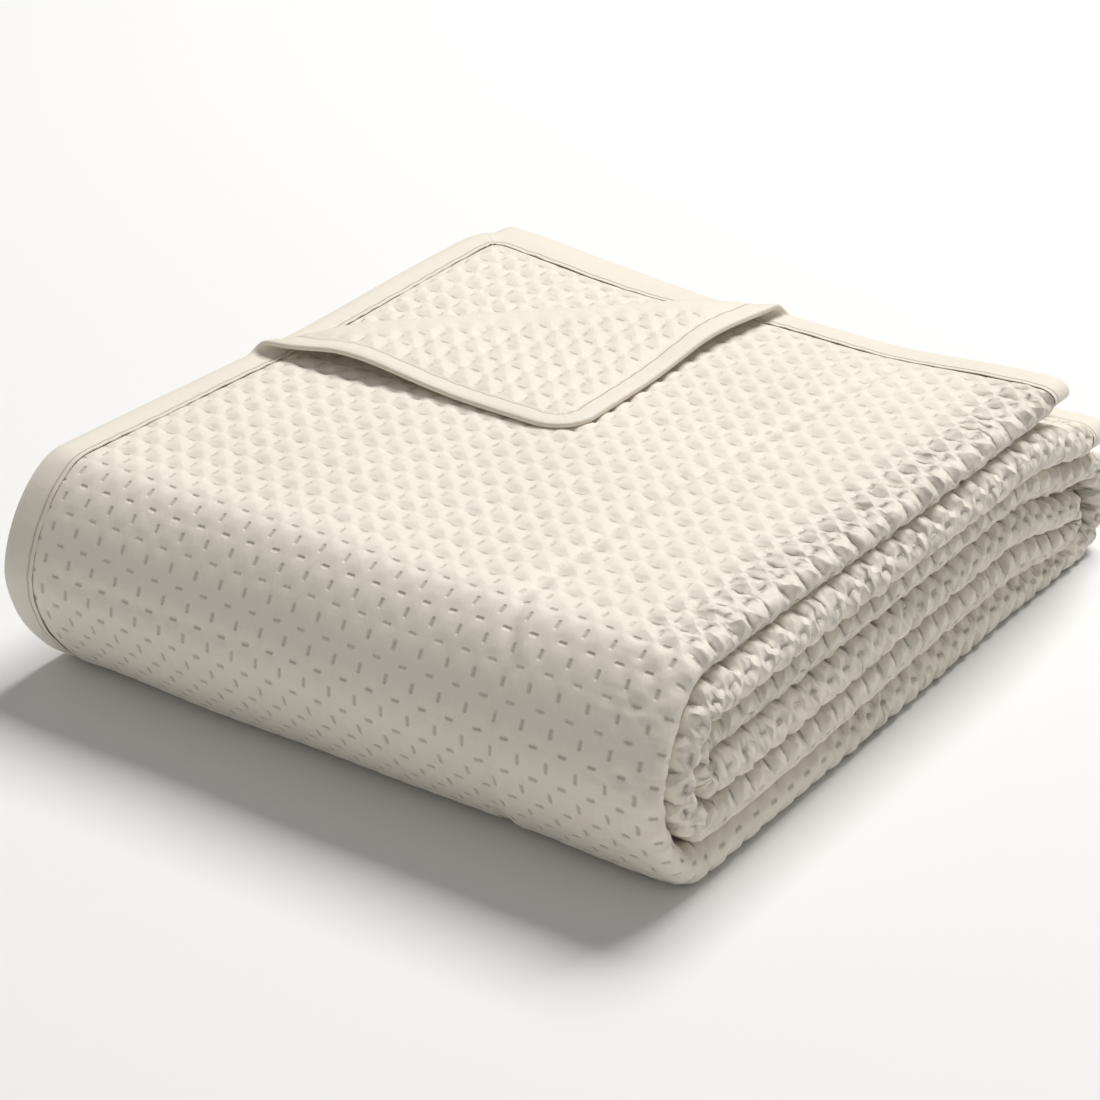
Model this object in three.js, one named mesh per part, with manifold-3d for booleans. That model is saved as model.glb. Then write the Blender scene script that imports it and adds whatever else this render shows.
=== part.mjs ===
// A quilted bedspread, folded for the shelf. Millimetres, +Z up, front edge along X.
// The cloth is folded in half and then in thirds across its width, which makes a strip of six
// sheets, and that strip is folded the same way along its length, which makes a pile of six
// layers. The back left corner of the top sheet is turned over.
import * as THREE from 'three';
import { mergeVertices } from 'three/addons/utils/BufferGeometryUtils.js';
import Module from 'manifold-3d';

// Cloth
const quiltRepeat = 15; // distance between two dashes of one row
const sheetThickness = 1.8;
const bindingWidth = 18;
const bindingHalf = 0.88; // half the thickness of the folded binding
const sewingGap = 0.3;
const panelInset = bindingWidth + sewingGap; // from a binding's fold to the panel

// Pile
const pileWidth = 380;
const pileHeight = 113;
const originX = 190.7; // middle of the pile's box
const originY = 223.2;

// The strip's six layers. Heights are of the underside, spacing is from sheet to sheet, and
// both are given at the front bend, the middle, the rear and the back end. end is the layer's
// reach to the back, reach is how far its right hand fold stands out.
const stationY = { front: 38, middle: 190, rear: 330 };
const layers = {
  top: {
    front: 100.6, middle: 100.8, rear: 101.5, back: 101,
    spacing: [2.15, 2.15, 2.15, 2.15], end: 390, reach: -5,
  },
  second: {
    front: 82.6, middle: 82.4, rear: 81, back: 64,
    spacing: [2.9, 3.2, 3.3, 2.6], end: 430, reach: 3,
  },
  third: {
    front: 64.8, middle: 64.6, rear: 62, back: 46.2,
    spacing: [2.9, 2.9, 2.9, 2.5], end: 424, reach: -2,
  },
  fourth: {
    front: 44.8, middle: 44.8, rear: 42.8, back: 30.6,
    spacing: [3.4, 3.4, 3.3, 2.4], end: 402, reach: 1,
  },
  fifth: {
    front: 24.2, middle: 24, rear: 22.4, back: 15.2,
    spacing: [3.5, 3.5, 3.4, 2.4], end: 402, reach: 0,
  },
  bottom: {
    front: 0, middle: 0, rear: 0, back: 0,
    spacing: [3.9, 3.9, 3.6, 2.4], end: 424, reach: -2,
  },
};

// The strip's five bends, in the order of the cloth. side -1 is the front, where start is the
// bend's distance from the front edge, and 1 is the back, where it starts at the layer's end. depth
// is how far the middle of the strip goes past the bend's start, and upper and lower are the
// powers that shape the two halves of its curve, where 2 is an ellipse. every is the share of
// its steps that the solid uses.
const bends = {
  outerFront: {
    from: 'top', to: 'bottom', side: -1, start: 38, depth: 38,
    upper: 1.6, lower: 1.8, spacing: 1.98, steps: 24, every: 3,
  },
  outerBack: {
    from: 'bottom', to: 'third', side: 1, depth: 22,
    upper: 2, lower: 2, spacing: 2.4, steps: 16, every: 4,
  },
  innerFront: {
    from: 'third', to: 'fourth', side: -1, start: 42, depth: 8.6,
    upper: 2, lower: 2, spacing: 2.6, steps: 12, every: 3,
  },
  innerBack: {
    from: 'fourth', to: 'fifth', side: 1, depth: 8,
    upper: 2, lower: 2, spacing: 2.4, steps: 12, every: 3,
  },
  secondFront: {
    from: 'fifth', to: 'second', side: -1, start: 38, depth: 24.2,
    upper: 1.6, lower: 1.8, spacing: 2.4, steps: 16, every: 4,
  },
};

// The strip's six sheets: level counts sheet spacings from the strip's middle, and face is 1
// where the cloth's face looks up. Their folds follow in the order of the cloth.
const sheets = {
  first: { level: 2.5, face: 1 },
  second: { level: 1.5, face: -1 },
  third: { level: 0.5, face: 1 },
  fourth: { level: -0.5, face: -1 },
  fifth: { level: -1.5, face: 1 },
  sixth: { level: -2.5, face: -1 },
};
const folds = [
  { from: 'first', to: 'sixth', side: 1, start: 369, depth: 10, steps: 4 },
  { from: 'sixth', to: 'third', side: -1, start: 12, depth: 8, steps: 3 },
  { from: 'third', to: 'fourth', side: 1, start: 367, depth: 2, steps: 2 },
  { from: 'fourth', to: 'fifth', side: -1, start: 13, depth: 2.5, steps: 2 },
  { from: 'fifth', to: 'second', side: 1, start: 369, depth: 5.6, steps: 2 },
];
const firstEdge = 0; // left edge of the first sheet
const secondEdge = -3; // left edge of the second sheet, which peeks out

// Turned corner of the top sheet
const cornerLeg = 14 * quiltRepeat; // from the corner to where the turned fold meets an edge
const turnRadius = 5;
const cornerRound = 24;
const tipHeight = 3.4; // middle of the turned cloth above the middle of the sheet it lies on

// Quilting relief, measured outwards from the middle of the sheet
const skinBase = -0.3;
const dashLevel = sheetThickness / 2 + 0.3;
const crestLevel = sheetThickness / 2 + 1.5;

// Between these distances from the front edge every layer runs straight, so that neighbouring
// layers stay parallel
const knots = [38, 108, 178, 248, 318, 372];

const smooth = (value, low, high) => {
  const part = Math.min(1, Math.max(0, (value - low) / (high - low)));
  return part * part * (3 - 2 * part);
};
const mix = (a, b, part) => a + (b - a) * part;
function alongKnots(y, end, valueAt) {
  const stops = [...knots.filter((knot) => knot < end), end];
  let k = 0;
  while (k < stops.length - 2 && y > stops[k + 1]) k += 1;
  const part = Math.min(1, Math.max(0, (y - stops[k]) / (stops[k + 1] - stops[k])));
  return mix(valueAt(stops[k]), valueAt(stops[k + 1]), part);
}

// The pile isn't even: its back left corner stands up, its back right corner a little, the
// front leans out more at the left, and the rolls of the right end wander.
const unevenness = { leftRear: 16, rightRear: 4, rightSway: 2.2, frontLean: 2.5 };
const liftStart = 180; // from here to the rear the corners rise
const liftEnd = 410;
const pileEnd = 430;
const leanEnd = 90;
const reachStart = 120; // the strip's right hand folds shift from here on
function settle(x, y, z) {
  const share = z / pileHeight;
  const across = x / pileWidth;
  const rear = alongKnots(y, pileEnd, (at) => smooth(at, liftStart, liftEnd));
  const lift = rear * mix(unevenness.leftRear, unevenness.rightRear, across) * share;
  const sway = unevenness.rightSway * Math.sin(y / 74 + 0.4) * Math.sin(z / 23) * across;
  const lean = unevenness.frontLean * (across - 0.5) * (1 - smooth(y, 0, leanEnd)) * share;
  return new THREE.Vector3(x + sway - originX, y + lean - originY, z + lift);
}

// Middle height and sheet spacing of a layer at a distance from the front
function layerAt(name, y) {
  const { front, middle, rear, back, spacing, end } = layers[name];
  const stations = [stationY.front, stationY.middle, stationY.rear, end];
  const between = (values) => alongKnots(y, end, (at) => {
    let k = 0;
    while (k < 2 && at > stations[k + 1]) k += 1;
    return mix(values[k], values[k + 1], smooth(at, stations[k], stations[k + 1]));
  });
  const gap = between(spacing);
  const under = between([front, middle, rear, back]);
  return { z: under + 2.5 * gap + sheetThickness / 2, gap };
}

// Middle line of the strip, from the free end of the top layer to that of the second
function traceStrip() {
  const nodes = [];
  const addRun = (name, from, to) => {
    const [low, high] = [Math.min(from, to), Math.max(from, to)];
    const stops = [low, ...knots.filter((knot) => knot > low && knot < high - 1), high];
    if (name === 'top') stops.splice(-2, 1, high - panelInset);
    if (name === 'second') stops.splice(-1, 0, high - panelInset);
    for (const y of to > from ? stops : stops.toReversed()) {
      nodes.push({ y, ...layerAt(name, y), reach: layers[name].reach, layer: name, shown: true });
    }
  };
  let at = layers.top.end;
  for (const bend of Object.values(bends)) {
    const start = bend.side < 0 ? bend.start : layers[bend.from].end;
    addRun(bend.from, at, start);
    const a = layerAt(bend.from, start);
    const b = layerAt(bend.to, start);
    const middle = (a.z + b.z) / 2;
    const half = Math.abs(a.z - b.z) / 2;
    const turn = Math.sign(a.z - b.z);
    for (let i = 1; i < bend.steps; i += 1) {
      const angle = Math.PI * (i / bend.steps - 0.5);
      const rise = -Math.sin(angle) * turn;
      const power = rise > 0 ? bend.upper : bend.lower;
      const out = Math.cos(angle) ** (2 / power);
      const part = i / bend.steps;
      const ease = Math.min(1, 4 * Math.min(part, 1 - part));
      const nearest = part < 0.5 ? a.gap : b.gap;
      nodes.push({
        y: start + bend.side * bend.depth * out,
        z: middle + half * Math.sign(rise) * Math.abs(rise) ** (2 / power),
        gap: mix(nearest, bend.spacing, smooth(ease, 0, 1)),
        reach: mix(layers[bend.from].reach, layers[bend.to].reach, part),
        layer: 'bend',
        shown: i % bend.every === 0,
      });
    }
    at = start;
  }
  addRun('second', at, layers.second.end);
  // outward direction of the face side at each node
  nodes.forEach((node, i) => {
    const before = nodes[Math.max(0, i - 1)];
    const after = nodes[Math.min(nodes.length - 1, i + 1)];
    const length = Math.hypot(after.y - before.y, after.z - before.z);
    node.ny = (after.z - before.z) / length;
    node.nz = -(after.y - before.y) / length;
  });
  return nodes;
}

// A point of the strip: x across, height from the strip's middle towards its face side
function placeInStrip(node, x, height) {
  const across = x + node.reach * smooth(x, reachStart, pileWidth);
  return settle(across, node.y + height * node.ny, node.z + height * node.nz);
}

// A point of the top sheet near its turned corner: a from its left edge, b from its back edge
function placeAtCorner(a, b, offset) {
  let across = a;
  let along = b;
  if (a < cornerRound && b < cornerRound) {
    const u = cornerRound - a;
    const v = cornerRound - b;
    across = cornerRound - u * Math.sqrt(1 - (v * v) / (2 * cornerRound ** 2));
    along = cornerRound - v * Math.sqrt(1 - (u * u) / (2 * cornerRound ** 2));
  }
  const beyond = (cornerLeg - across - along) / Math.SQRT2;
  const arc = Math.PI * turnRadius;
  let out = beyond;
  let rise = 0;
  let tilt = 0;
  if (beyond > 0) {
    tilt = Math.min(Math.PI, beyond / turnRadius);
    out = turnRadius * Math.sin(tilt) - Math.max(0, beyond - arc);
    rise = turnRadius * (1 - Math.cos(tilt));
    const slope = (2 * turnRadius - tipHeight) / (cornerLeg / Math.SQRT2 - arc - cornerRound / 2);
    rise -= slope * Math.max(0, beyond - arc);
  }
  const shift = (out - beyond) / Math.SQRT2;
  const side = offset * Math.sin(tilt) / Math.SQRT2;
  const x = firstEdge + across - shift + side;
  const y = layers.top.end - along + shift - side;
  const base = layerAt('top', Math.min(y, layers.top.end));
  const z = base.z + sheets.first.level * base.gap + rise + offset * Math.cos(tilt);
  return settle(x, y, z);
}

// Stations along the strip's section, from the first sheet's edge to the second's, each with a
// point on the cloth's face and one on its back. A fold's outer and inner line are half ellipses.
function traceSection(gap, half) {
  const stations = [];
  const addFlat = (sheet, x, thick) => {
    const { level, face } = sheets[sheet];
    const height = level * gap;
    stations.push({ face: [x, height + face * thick], back: [x, height - face * thick] });
  };
  for (const fold of folds) {
    addFlat(fold.from, fold.start, half);
    const [above, below] = [sheets[fold.from], sheets[fold.to]];
    const middle = (above.level + below.level) * gap / 2;
    const rise = (above.level - below.level) * gap / 2;
    const faceOut = Math.sign(rise) * above.face;
    for (let i = 1; i < fold.steps; i += 1) {
      const angle = Math.PI * i / fold.steps;
      const line = (out) => [
        fold.start + fold.side * Math.max(0.4, fold.depth + out) * Math.sin(angle),
        middle + Math.sign(rise) * (Math.abs(rise) + out) * Math.cos(angle),
      ];
      stations.push({ face: line(faceOut * half), back: line(-faceOut * half) });
    }
    addFlat(fold.to, fold.start, half);
  }
  return stations;
}

// Closed outline of the section, from the first sheet's binding to the second's
function sectionOutline(gap, edge, half) {
  const end = (sheet, x) => {
    const { level, face } = sheets[sheet];
    return { face: [x, level * gap + face * half], back: [x, level * gap - face * half] };
  };
  const stations = [
    end('first', edge + panelInset),
    ...traceSection(gap, half),
    end('second', secondEdge + panelInset),
  ];
  return [...stations.map(({ face }) => face), ...stations.reverse().map(({ back }) => back)];
}

// Closed body through a row of rings. outline is their common flat shape, which closes the ends.
// Facets are all split along the same diagonal, so that where the pile twists the two sides of a
// sheet, and the sheets on each other, stay parallel.
function loft(rings, outline) {
  const count = rings[0].length;
  const positions = rings.flat().flatMap((point) => point.toArray());
  const faces = [];
  for (let r = 0; r < rings.length - 1; r += 1) {
    const step = rings[r + 1][0].clone().sub(rings[r][0]);
    const forward = Math.abs(step.x) > Math.abs(step.y) ? step.x > 0 : step.y > 0;
    for (let k = 0; k < count; k += 1) {
      const next = (k + 1) % count;
      const a = r * count + k;
      const b = r * count + next;
      const backwards = outline[next][0] < outline[k][0];
      if (backwards !== forward) faces.push(a, a + count, b + count, a, b + count, b);
      else faces.push(a, a + count, b, b, a + count, b + count);
    }
  }
  const flat = outline.map(([x, y]) => new THREE.Vector2(x, y));
  const clockwise = THREE.ShapeUtils.isClockWise(flat);
  const last = (rings.length - 1) * count;
  for (const [a, b, c] of THREE.ShapeUtils.triangulateShape(flat, [])) {
    const [p, q] = clockwise ? [c, b] : [b, c];
    faces.push(a, p, q, last + a, last + q, last + p);
  }
  return bodyFrom(positions, faces);
}

function bodyFrom(positions, faces) {
  const geometry = new THREE.BufferGeometry();
  geometry.setAttribute('position', new THREE.Float32BufferAttribute(positions, 3));
  geometry.setIndex(faces);
  return turnOutwards(mergeVertices(geometry, 1e-4));
}

function turnOutwards(geometry) {
  const point = geometry.attributes.position;
  const index = geometry.index.array;
  const [a, b, c] = [new THREE.Vector3(), new THREE.Vector3(), new THREE.Vector3()];
  let volume = 0;
  for (let i = 0; i < index.length; i += 3) {
    a.fromBufferAttribute(point, index[i]);
    b.fromBufferAttribute(point, index[i + 1]);
    c.fromBufferAttribute(point, index[i + 2]);
    volume += a.dot(b.cross(c));
  }
  if (volume < 0) {
    for (let i = 0; i < index.length; i += 3) [index[i], index[i + 1]] = [index[i + 1], index[i]];
  }
  return geometry;
}

// Quilted face over a grid of cells: outer(i, j) and base(i, j) give its points
function quiltedFace(columns, rows, holds, outer, base) {
  const positions = [];
  const faces = [];
  const stride = columns + 1;
  const layerSize = stride * (rows + 1);
  for (const place of [outer, base]) {
    for (let j = 0; j <= rows; j += 1) {
      for (let i = 0; i <= columns; i += 1) positions.push(...place(i, j).toArray());
    }
  }
  const inside = (i, j) => i >= 0 && j >= 0 && i < columns && j < rows && holds(i, j);
  const wall = (p, q) => faces.push(p, p + layerSize, q, q, p + layerSize, q + layerSize);
  for (let j = 0; j < rows; j += 1) {
    for (let i = 0; i < columns; i += 1) {
      if (!inside(i, j)) continue;
      const a = j * stride + i;
      const [b, c, d] = [a + 1, a + stride + 1, a + stride];
      // each cell is split between its two dashes, so that its crests stand up
      if ((i + j) % 2 === 0) faces.push(a, b, c, a, c, d);
      else faces.push(a, b, d, b, c, d);
      const [e, f, g, h] = [a, b, c, d].map((value) => value + layerSize);
      faces.push(e, g, f, e, h, g);
      if (!inside(i, j - 1)) wall(a, b);
      if (!inside(i + 1, j)) wall(b, c);
      if (!inside(i, j + 1)) wall(c, d);
      if (!inside(i - 1, j)) wall(d, a);
    }
  }
  const geometry = new THREE.BufferGeometry();
  geometry.setAttribute('position', new THREE.Float32BufferAttribute(positions, 3));
  geometry.setIndex(faces);
  return turnOutwards(dropLoosePoints(geometry));
}

function dropLoosePoints(geometry) {
  const point = geometry.attributes.position;
  const renamed = new Map();
  const positions = [];
  const faces = Array.from(geometry.index.array, (old) => {
    if (!renamed.has(old)) {
      renamed.set(old, renamed.size);
      positions.push(point.getX(old), point.getY(old), point.getZ(old));
    }
    return renamed.get(old);
  });
  const result = new THREE.BufferGeometry();
  result.setAttribute('position', new THREE.Float32BufferAttribute(positions, 3));
  result.setIndex(faces);
  return result;
}

const wasm = await Module();
wasm.setup();

function toSolid(geometry) {
  return new wasm.Manifold(new wasm.Mesh({
    numProp: 3,
    vertProperties: new Float32Array(geometry.attributes.position.array),
    triVerts: new Uint32Array(geometry.index.array),
  }));
}

function toGeometry(solid) {
  const mesh = solid.getMesh();
  const geometry = new THREE.BufferGeometry();
  geometry.setAttribute('position', new THREE.BufferAttribute(mesh.vertProperties, 3));
  geometry.setIndex(new THREE.BufferAttribute(mesh.triVerts, 1));
  return geometry;
}

const strip = traceStrip();
const ringNodes = strip.filter((node) => node.shown);

// How much of the first sheet's width is turned over at a node of the strip
function cutAway(node) {
  return node.layer === 'top' ? Math.max(0, cornerLeg - (layers.top.end - node.y)) : 0;
}

// The whole folded panel, without its relief
function foldedPanel() {
  const half = sheetThickness / 2;
  const inner = ringNodes.filter((node, i) => i > 0 && i < ringNodes.length - 1);
  const rings = inner.map((node) => {
    const outline = sectionOutline(node.gap, firstEdge + cutAway(node), half);
    return outline.map(([x, height]) => placeInStrip(node, x, height));
  });
  return loft(rings, sectionOutline(inner[0].gap, firstEdge, half));
}

// Distances past the turned fold's line that follow the turn of the cloth, farthest first
const turnStops = [-0.5];
for (let k = 1; k <= 8; k += 1) turnStops.unshift(Math.PI * turnRadius * k / 8);

// The corner that is turned over, from just inside its fold to its tip
function turnedCorner() {
  const half = sheetThickness / 2 - 0.1;
  const columns = 6;
  const farthest = (cornerLeg - 2 * panelInset) / Math.SQRT2 - 3;
  const distances = [-10, ...turnStops.toReversed()];
  for (let k = 1; k <= 5; k += 1) distances.push(mix(turnStops[0], farthest, k / 5));
  const rings = distances.map((distance) => {
    const reach = cornerLeg - distance * Math.SQRT2;
    const stations = [];
    for (let k = 0; k <= columns; k += 1) stations.push(mix(panelInset, reach - panelInset, k / columns));
    const face = stations.map((a) => placeAtCorner(a, reach - a, half));
    const back = stations.map((a) => placeAtCorner(a, reach - a, -half)).reverse();
    return [...face, ...back];
  });
  const top = Array.from({ length: columns + 1 }, (unused, k) => [k, 1]);
  return loft(rings, [...top, ...top.map(([x, y]) => [x, -y]).reverse()]);
}

const cell = quiltRepeat / 2;
const relief = (i, j) => ((i + j) % 2 === 0 ? dashLevel : crestLevel);

// Rows of a quilted face, a cell apart along one sheet of the strip. Each lies between two
// rings of the panel, so that the face follows the panel's own facets.
function quiltRows(nodes, level, start) {
  const rows = [];
  let travelled = 0;
  let next = start;
  for (let i = 1; i < nodes.length; i += 1) {
    const [a, b] = [nodes[i - 1], nodes[i]];
    const length = Math.hypot(
      b.y - a.y + level * (b.gap * b.ny - a.gap * a.ny),
      b.z - a.z + level * (b.gap * b.nz - a.gap * a.nz),
    );
    for (; next <= travelled + length; next += cell) rows.push({ a, b, part: (next - travelled) / length });
    travelled += length;
  }
  return rows;
}

// A point on the panel's own facets: left(node) and right bound the sheet, level is its place in
// the strip and offset its distance from the sheet's middle
function placeOnFacet({ a, b, part }, x, left, right, level, offset) {
  const at = (node, across) => placeInStrip(node, across, level * node.gap + offset);
  const corner = at(a, right);
  const opposite = at(b, left(b));
  if (x < mix(right, left(b), part)) {
    const share = (x - mix(left(a), left(b), part)) / (right - left(a));
    return weigh([at(a, left(a)), corner, opposite], [1 - share - part, share, part]);
  }
  const share = (right - x) / (right - left(b));
  return weigh([at(b, right), corner, opposite], [part - share, 1 - part, share]);
}

function weigh(points, weights) {
  return points.reduce((sum, point, i) => sum.addScaledVector(point, weights[i]), new THREE.Vector3());
}

// Face of the top sheet, from the back edge to the front bend
function topFace() {
  const start = bindingWidth + 7;
  const right = folds[0].start;
  const columns = Math.floor((right - 3 - start) / cell);
  const rows = quiltRows(ringNodes.filter((node) => node.layer === 'top'), sheets.first.level, start);
  const last = rows.length - 1;
  const edge = (i, j) => i === 0 || j === 0 || i === columns || j === last;
  const holds = (i, j) => (i + j) * cell + 2 * start > cornerLeg + 8;
  const left = (node) => firstEdge + cutAway(node) + panelInset;
  const place = (i, j, offset) => (
    placeOnFacet(rows[j], start + i * cell, left, right, sheets.first.level, offset)
  );
  const face = (i, j) => place(i, j, edge(i, j) ? dashLevel : relief(i, j));
  return quiltedFace(columns, last, holds, face, (i, j) => place(i, j, skinBase));
}

// Face of the second sheet where the turned corner leaves it open
function openFace() {
  const start = bindingWidth + 7;
  const right = folds.at(-1).start;
  const columns = Math.floor((cornerLeg - 2 * start) / cell);
  const rows = quiltRows(ringNodes.filter((node) => node.layer === 'top'), sheets.second.level, start);
  const holds = (i, j) => (i + j + 2) * cell + 2 * start < cornerLeg - 20;
  const left = () => secondEdge + panelInset;
  const place = (i, j, offset) => (
    placeOnFacet(rows[j], start + i * cell, left, right, sheets.second.level, offset)
  );
  const face = (i, j) => place(i, j, i === 0 || j === 0 ? dashLevel : relief(i, j));
  return quiltedFace(columns, columns, holds, face, (i, j) => place(i, j, skinBase));
}

// Back face of the turned corner, which now looks up
function turnedFace() {
  const start = bindingWidth + 5;
  const flat = cornerLeg - Math.PI * turnRadius * Math.SQRT2;
  const columns = Math.floor((flat - 2 * start) / cell);
  const place = (i, j, level) => placeAtCorner(start + i * cell, start + j * cell, -level);
  const holds = (i, j) => (i + j + 2) * cell + 2 * start < flat - 4;
  const face = (i, j) => place(i, j, i === 0 || j === 0 ? dashLevel : relief(i, j));
  return quiltedFace(columns, columns, holds, face, (i, j) => place(i, j, skinBase));
}

function quiltedPanel() {
  const pieces = [foldedPanel(), turnedCorner(), topFace(), openFace(), turnedFace()];
  return toGeometry(pieces.map(toSolid).reduce((whole, piece) => whole.add(piece)));
}

// Section of a binding over an edge: distance from its fold, height from its middle
const bindingSection = [
  [0, -bindingHalf], [bindingWidth / 3, -bindingHalf], [bindingWidth * 2 / 3, -bindingHalf],
  [bindingWidth, -bindingHalf], [bindingWidth, bindingHalf], [bindingWidth * 2 / 3, bindingHalf],
  [bindingWidth / 3, bindingHalf], [0, bindingHalf],
];
const mitreGap = 0.3;

// Rings of a binding from its mitre at the rounded corner to where the cloth lies flat again. On
// the turn of the cloth they run along the turned fold, so that each ring stays straight there.
function cornerRings(place) {
  const ring = (alongAt) => bindingSection.map(([from, height]) => place(from, alongAt(from), height));
  const start = cornerRound + 2;
  const rings = [0, 0.35, 0.7].map((part) => ring((from) => mix(from + mitreGap, start, part)));
  const turnEnd = cornerLeg - turnStops[0] * Math.SQRT2;
  for (let k = 0; k <= 3; k += 1) rings.push(ring(() => mix(start, turnEnd - bindingWidth - 2, k / 3)));
  for (const distance of turnStops) rings.push(ring((from) => cornerLeg - distance * Math.SQRT2 - from));
  return rings;
}

function firstSideBinding() {
  const rings = cornerRings((from, along, height) => placeAtCorner(from, along, height));
  for (const node of ringNodes) {
    if (node.layer === 'top' && layers.top.end - node.y < cornerLeg + 1) continue;
    const middle = sheets.first.level * node.gap;
    rings.push(bindingSection.map(([from, height]) => placeInStrip(node, firstEdge + from, middle + height)));
  }
  return loft(rings, bindingSection);
}

function secondSideBinding() {
  return loft(ringNodes.map((node) => {
    const middle = sheets.second.level * node.gap;
    return bindingSection.map(([from, height]) => placeInStrip(node, secondEdge + from, middle + height));
  }), bindingSection);
}

// A binding on a short end follows the six sheets. from and to skip what the side bindings hold.
function endBinding(node, rings, from) {
  const line = traceSection(node.gap, sheetThickness / 2);
  const firstLevel = sheets.first.level * node.gap;
  const secondLevel = sheets.second.level * node.gap;
  const stop = secondEdge + panelInset;
  line.unshift({ face: [from, firstLevel + 1], back: [from, firstLevel - 1] });
  line.push({ face: [stop, secondLevel - 1], back: [stop, secondLevel + 1] });
  for (const { face, back } of line) {
    const middle = [(face[0] + back[0]) / 2, (face[1] + back[1]) / 2];
    const length = Math.hypot(face[0] - back[0], face[1] - back[1]);
    const normal = [(face[0] - back[0]) / length, (face[1] - back[1]) / length];
    rings.push(bindingSection.map(([inward, height]) => {
      const y = node.y - inward;
      const at = { ...node, y, ...layerAt(node.layer, y) };
      const shrink = at.gap / node.gap;
      return placeInStrip(at, middle[0] + height * normal[0], middle[1] * shrink + height * normal[1]);
    }));
  }
  return loft(rings, bindingSection);
}

function topEndBinding() {
  const rings = cornerRings((from, along, height) => placeAtCorner(along, from, height));
  return endBinding(strip[0], rings, cornerLeg + 6);
}

function secondEndBinding() {
  return endBinding(strip[strip.length - 1], [], firstEdge + panelInset);
}

const bedspread = new THREE.Group();
const fabric = new THREE.MeshStandardMaterial({ color: 0xd9d1c1, roughness: 0.62, metalness: 0 });
const bindingFabric = new THREE.MeshStandardMaterial({ color: 0xd2c9b8, roughness: 0.66, metalness: 0 });

function addPiece(name, geometry, material) {
  const mesh = new THREE.Mesh(geometry, material);
  mesh.name = name;
  bedspread.add(mesh);
}

addPiece('quilted_panel', quiltedPanel(), fabric);
addPiece('side_binding_first', firstSideBinding(), bindingFabric);
addPiece('side_binding_second', secondSideBinding(), bindingFabric);
addPiece('end_binding_top', topEndBinding(), bindingFabric);
addPiece('end_binding_second', secondEndBinding(), bindingFabric);

export default bedspread;
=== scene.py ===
import math

import bmesh
import bpy
import numpy as np
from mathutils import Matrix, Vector


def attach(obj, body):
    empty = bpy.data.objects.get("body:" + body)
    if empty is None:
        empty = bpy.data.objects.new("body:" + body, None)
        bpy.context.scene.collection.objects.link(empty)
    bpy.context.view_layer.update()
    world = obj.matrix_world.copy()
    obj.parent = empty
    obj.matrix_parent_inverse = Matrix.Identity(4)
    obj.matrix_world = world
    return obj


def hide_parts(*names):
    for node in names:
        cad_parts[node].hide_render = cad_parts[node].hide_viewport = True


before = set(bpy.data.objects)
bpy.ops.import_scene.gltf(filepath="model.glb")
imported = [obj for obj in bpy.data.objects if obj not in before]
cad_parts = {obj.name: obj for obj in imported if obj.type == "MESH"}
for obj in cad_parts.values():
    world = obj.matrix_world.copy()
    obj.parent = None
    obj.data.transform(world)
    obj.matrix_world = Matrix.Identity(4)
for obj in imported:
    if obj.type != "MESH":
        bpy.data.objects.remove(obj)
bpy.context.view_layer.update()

# Quilted panel: two faces of smooth polyester cloth and a thin wadding, sewn together in rows of
# short dashes. It is folded in half and in thirds across its width, then the strip of six sheets
# in the same way along its length. The mesh is the flat cloth, folded here in millimetres.
REPEAT = 15.0
HALF_SHEET = 0.9
PILE_WIDTH = 380.0
PILE_HEIGHT = 113.0
ORIGIN_X = 190.7
ORIGIN_Y = 223.2
BAND = 18.0
BEND_START = 38.0
STATIONS = (38.0, 190.0, 330.0)
# under each layer and between its sheets, at the stations and at its end; then where that end is
# and how far its roll reaches out of the pile
LAYERS = {
    "top": {"under": (100.6, 100.8, 101.5, 101.0), "gap": (2.15, 2.15, 2.15, 2.15),
            "end": 390.0, "reach": -5.0},
    "second": {"under": (82.6, 82.4, 81.0, 64.0), "gap": (2.9, 3.2, 3.3, 2.6),
               "end": 430.0, "reach": 3.0},
    "third": {"under": (64.8, 64.6, 62.0, 46.2), "gap": (2.9, 2.9, 2.9, 2.5),
              "end": 424.0, "reach": -2.0},
    "fourth": {"under": (44.8, 44.8, 42.8, 30.6), "gap": (3.4, 3.4, 3.3, 2.4),
               "end": 402.0, "reach": 1.0},
    "fifth": {"under": (24.2, 24.0, 22.4, 15.2), "gap": (3.5, 3.5, 3.4, 2.4),
              "end": 402.0, "reach": 0.0},
    "bottom": {"under": (0.0, 0.0, 0.0, 0.0), "gap": (3.9, 3.9, 3.6, 2.4),
               "end": 424.0, "reach": -2.0},
}
BENDS = (
    {"from": "top", "to": "bottom", "side": -1, "depth": 38.0, "upper": 1.6, "lower": 1.8, "gap": 1.98},
    {"from": "bottom", "to": "third", "side": 1, "depth": 22.0, "upper": 2.0, "lower": 2.0, "gap": 2.4},
    {"from": "third", "to": "fourth", "side": -1, "depth": 8.6, "upper": 2.0, "lower": 2.0, "gap": 2.6},
    {"from": "fourth", "to": "fifth", "side": 1, "depth": 8.0, "upper": 2.0, "lower": 2.0, "gap": 2.4},
    {"from": "fifth", "to": "second", "side": -1, "depth": 24.2, "upper": 1.6, "lower": 1.8, "gap": 2.4},
)
SHEETS = {
    "first": {"level": 2.5, "face": 1},
    "sixth": {"level": -2.5, "face": -1},
    "third": {"level": 0.5, "face": 1},
    "fourth": {"level": -0.5, "face": -1},
    "fifth": {"level": -1.5, "face": 1},
    "second": {"level": 1.5, "face": -1},
}
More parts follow.
